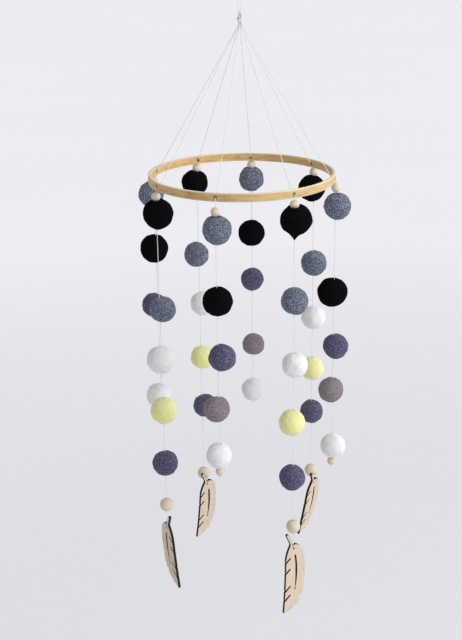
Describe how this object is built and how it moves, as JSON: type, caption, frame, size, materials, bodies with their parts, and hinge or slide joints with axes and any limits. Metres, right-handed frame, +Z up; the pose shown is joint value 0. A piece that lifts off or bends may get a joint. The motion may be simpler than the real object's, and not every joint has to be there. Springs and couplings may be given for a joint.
{
  "type": "crib mobile",
  "caption": "Round bamboo hoop hung by threads from one knot and loop, with strings of felt balls below it that end in beads, knots and flat wooden feathers.",
  "frame": {"origin": "top of the hanging loop, where it lies over its hook; all of the mobile is below it", "axes": "+Z up along the hanging thread, +X to the right and -Y towards the viewer in the pictured view"},
  "size_m": [0.2308, 0.2279, 0.6958],
  "materials": {
    "cotton_thread": "matte twisted cotton",
    "bamboo_hoop": "smooth bare bamboo, grain along the band",
    "wood_bead": "bare sanded wood",
    "wood_feather": "bare thin wood with dark scorched edges",
    "felt_black": "matte wool felt",
    "felt_blue_grey": "matte wool felt",
    "felt_white": "matte wool felt",
    "felt_yellow": "matte wool felt",
    "felt_violet": "matte wool felt",
    "felt_taupe": "matte wool felt"
  },
  "bodies": {
    "hanger": {"hanging_loop": "cotton_thread"},
    "hoop": {"suspension_threads": "cotton_thread", "hoop_ring": "bamboo_hoop", "ring_beads": "wood_bead"},
    "string_1_top": {"string_1_ball_1_black": "felt_black"},
    "string_1": {"string_1_thread": "cotton_thread", "string_1_ball_2_blue_grey": "felt_blue_grey", "string_1_ball_3_white": "felt_white", "string_1_ball_4_yellow": "felt_yellow", "string_1_ball_5_violet": "felt_violet"},
    "feather_bead_1": {"string_1_feather_bead": "wood_bead"},
    "feather_1": {"string_1_feather": "wood_feather"},
    "string_2_top": {"string_2_ball_1_blue_grey": "felt_blue_grey"},
    "string_2": {"string_2_thread": "cotton_thread", "string_2_ball_2_black": "felt_black", "string_2_ball_3_violet": "felt_violet", "string_2_ball_4_taupe": "felt_taupe", "string_2_ball_5_white": "felt_white"},
    "string_3_top": {"string_3_ball_1_black": "felt_black"},
    "string_3": {"string_3_thread": "cotton_thread", "string_3_ball_2_blue_grey": "felt_blue_grey", "string_3_ball_3_white": "felt_white", "string_3_ball_4_yellow": "felt_yellow", "string_3_ball_5_violet": "felt_violet"},
    "feather_bead_3": {"string_3_feather_bead": "wood_bead"},
    "feather_3": {"string_3_feather": "wood_feather"},
    "string_4_top": {"string_4_ball_1_blue_grey": "felt_blue_grey"},
    "string_4": {"string_4_thread": "cotton_thread", "string_4_ball_2_black": "felt_black", "string_4_ball_3_violet": "felt_violet", "string_4_ball_4_taupe": "felt_taupe", "string_4_ball_5_white": "felt_white"},
    "string_5_top": {"string_5_ball_1_black": "felt_black"},
    "string_5": {"string_5_thread": "cotton_thread", "string_5_ball_2_blue_grey": "felt_blue_grey", "string_5_ball_3_white": "felt_white", "string_5_ball_4_yellow": "felt_yellow", "string_5_ball_5_violet": "felt_violet"},
    "feather_bead_5": {"string_5_feather_bead": "wood_bead"},
    "feather_5": {"string_5_feather": "wood_feather"},
    "string_6_top": {"string_6_ball_1_blue_grey": "felt_blue_grey"},
    "string_6": {"string_6_thread": "cotton_thread", "string_6_ball_2_black": "felt_black", "string_6_ball_3_violet": "felt_violet", "string_6_ball_4_taupe": "felt_taupe", "string_6_ball_5_white": "felt_white"},
    "string_7_top": {"string_7_ball_1_black": "felt_black"},
    "string_7": {"string_7_thread": "cotton_thread", "string_7_ball_2_blue_grey": "felt_blue_grey", "string_7_ball_3_white": "felt_white", "string_7_ball_4_yellow": "felt_yellow", "string_7_ball_5_violet": "felt_violet"},
    "feather_bead_7": {"string_7_feather_bead": "wood_bead"},
    "feather_7": {"string_7_feather": "wood_feather"},
    "string_8_top": {"string_8_ball_1_blue_grey": "felt_blue_grey"},
    "string_8": {"string_8_thread": "cotton_thread", "string_8_ball_2_black": "felt_black", "string_8_ball_3_violet": "felt_violet", "string_8_ball_4_taupe": "felt_taupe", "string_8_ball_5_white": "felt_white"}
  },
  "joints": [
    {"name": "mobile_turn", "type": "hinge", "parent": "hanger", "child": "hoop", "pos_m": [0, 0, -0.05], "axis": [0, 0, 1], "continuous": true},
    {"name": "string_1_in_out", "type": "hinge", "parent": "hoop", "child": "string_1_top", "pos_m": [-0.08972, -0.04572, -0.2233], "axis": [-0.454, 0.891, 0], "range_deg": [-7, 25]},
    {"name": "string_1_sideways", "type": "hinge", "parent": "string_1_top", "child": "string_1", "pos_m": [-0.08972, -0.04572, -0.25268], "axis": [-0.891, -0.454, 0], "range_deg": [-8, 8]},
    {"name": "feather_1_turn", "type": "hinge", "parent": "string_1", "child": "feather_bead_1", "pos_m": [-0.08972, -0.04572, -0.577], "axis": [0, 0, 1], "continuous": true},
    {"name": "feather_1_swing", "type": "hinge", "parent": "feather_bead_1", "child": "feather_1", "pos_m": [-0.08972, -0.04572, -0.5848], "axis": [0.8421, 0.5262, 0.1184], "range_deg": [-12, 12]},
    {"name": "string_2_in_out", "type": "hinge", "parent": "hoop", "child": "string_2_top", "pos_m": [-0.02776, -0.0968, -0.2275], "axis": [-0.9613, 0.2756, 0], "range_deg": [-7, 25]},
    {"name": "string_2_sideways", "type": "hinge", "parent": "string_2_top", "child": "string_2", "pos_m": [-0.02776, -0.0968, -0.25609], "axis": [-0.2756, -0.9613, 0], "range_deg": [-8, 8]},
    {"name": "string_3_in_out", "type": "hinge", "parent": "hoop", "child": "string_3_top", "pos_m": [0.05186, -0.08632, -0.2236], "axis": [-0.8572, -0.515, 0], "range_deg": [-7, 25]},
    {"name": "string_3_sideways", "type": "hinge", "parent": "string_3_top", "child": "string_3", "pos_m": [0.05186, -0.08632, -0.25522], "axis": [0.515, -0.8572, 0], "range_deg": [-8, 8]},
    {"name": "feather_3_turn", "type": "hinge", "parent": "string_3", "child": "feather_bead_3", "pos_m": [0.05186, -0.08632, -0.5845], "axis": [0, 0, 1], "continuous": true},
    {"name": "feather_3_swing", "type": "hinge", "parent": "feather_bead_3", "child": "feather_3", "pos_m": [0.05186, -0.08632, -0.5923], "axis": [0.5, -0.866, 0], "range_deg": [-12, 12]},
    {"name": "string_4_in_out", "type": "hinge", "parent": "hoop", "child": "string_4_top", "pos_m": [0.09946, -0.01575, -0.2237], "axis": [-0.1564, -0.9877, 0], "range_deg": [-7, 25]},
    {"name": "string_4_sideways", "type": "hinge", "parent": "string_4_top", "child": "string_4", "pos_m": [0.09946, -0.01575, -0.25361], "axis": [0.9877, -0.1564, 0], "range_deg": [-8, 8]},
    {"name": "string_5_in_out", "type": "hinge", "parent": "hoop", "child": "string_5_top", "pos_m": [0.08147, 0.05919, -0.2229], "axis": [0.5878, -0.809, 0], "range_deg": [-7, 25]},
    {"name": "string_5_sideways", "type": "hinge", "parent": "string_5_top", "child": "string_5", "pos_m": [0.08147, 0.05919, -0.25162], "axis": [0.809, 0.5878, 0], "range_deg": [-8, 8]},
    {"name": "feather_5_turn", "type": "hinge", "parent": "string_5", "child": "feather_bead_5", "pos_m": [0.08147, 0.05919, -0.589], "axis": [0, 0, 1], "continuous": true},
    {"name": "feather_5_swing", "type": "hinge", "parent": "feather_bead_5", "child": "feather_5", "pos_m": [0.08147, 0.05919, -0.5968], "axis": [0.7612, -0.5947, -0.2588], "range_deg": [-12, 12]},
    {"name": "string_6_in_out", "type": "hinge", "parent": "hoop", "child": "string_6_top", "pos_m": [0.01227, 0.09995, -0.2226], "axis": [0.9925, -0.1219, 0], "range_deg": [-7, 25]},
    {"name": "string_6_sideways", "type": "hinge", "parent": "string_6_top", "child": "string_6", "pos_m": [0.01227, 0.09995, -0.2486], "axis": [0.1219, 0.9925, 0], "range_deg": [-8, 8]},
    {"name": "string_7_in_out", "type": "hinge", "parent": "hoop", "child": "string_7_top", "pos_m": [-0.05035, 0.08721, -0.2227], "axis": [0.866, 0.5, 0], "range_deg": [-7, 25]},
    {"name": "string_7_sideways", "type": "hinge", "parent": "string_7_top", "child": "string_7", "pos_m": [-0.05035, 0.08721, -0.24954], "axis": [-0.5, 0.866, 0], "range_deg": [-8, 8]},
    {"name": "feather_7_turn", "type": "hinge", "parent": "string_7", "child": "feather_bead_7", "pos_m": [-0.05035, 0.08721, -0.605], "axis": [0, 0, 1], "continuous": true},
    {"name": "feather_7_swing", "type": "hinge", "parent": "feather_bead_7", "child": "feather_7", "pos_m": [-0.05035, 0.08721, -0.6128], "axis": [0.631, -0.752, -0.1908], "range_deg": [-12, 12]},
    {"name": "string_8_in_out", "type": "hinge", "parent": "hoop", "child": "string_8_top", "pos_m": [-0.0963, 0.02944, -0.2227], "axis": [0.2924, 0.9563, 0], "range_deg": [-7, 25]},
    {"name": "string_8_sideways", "type": "hinge", "parent": "string_8_top", "child": "string_8", "pos_m": [-0.0963, 0.02944, -0.24736], "axis": [-0.9563, 0.2924, 0], "range_deg": [-8, 8]}
  ]
}
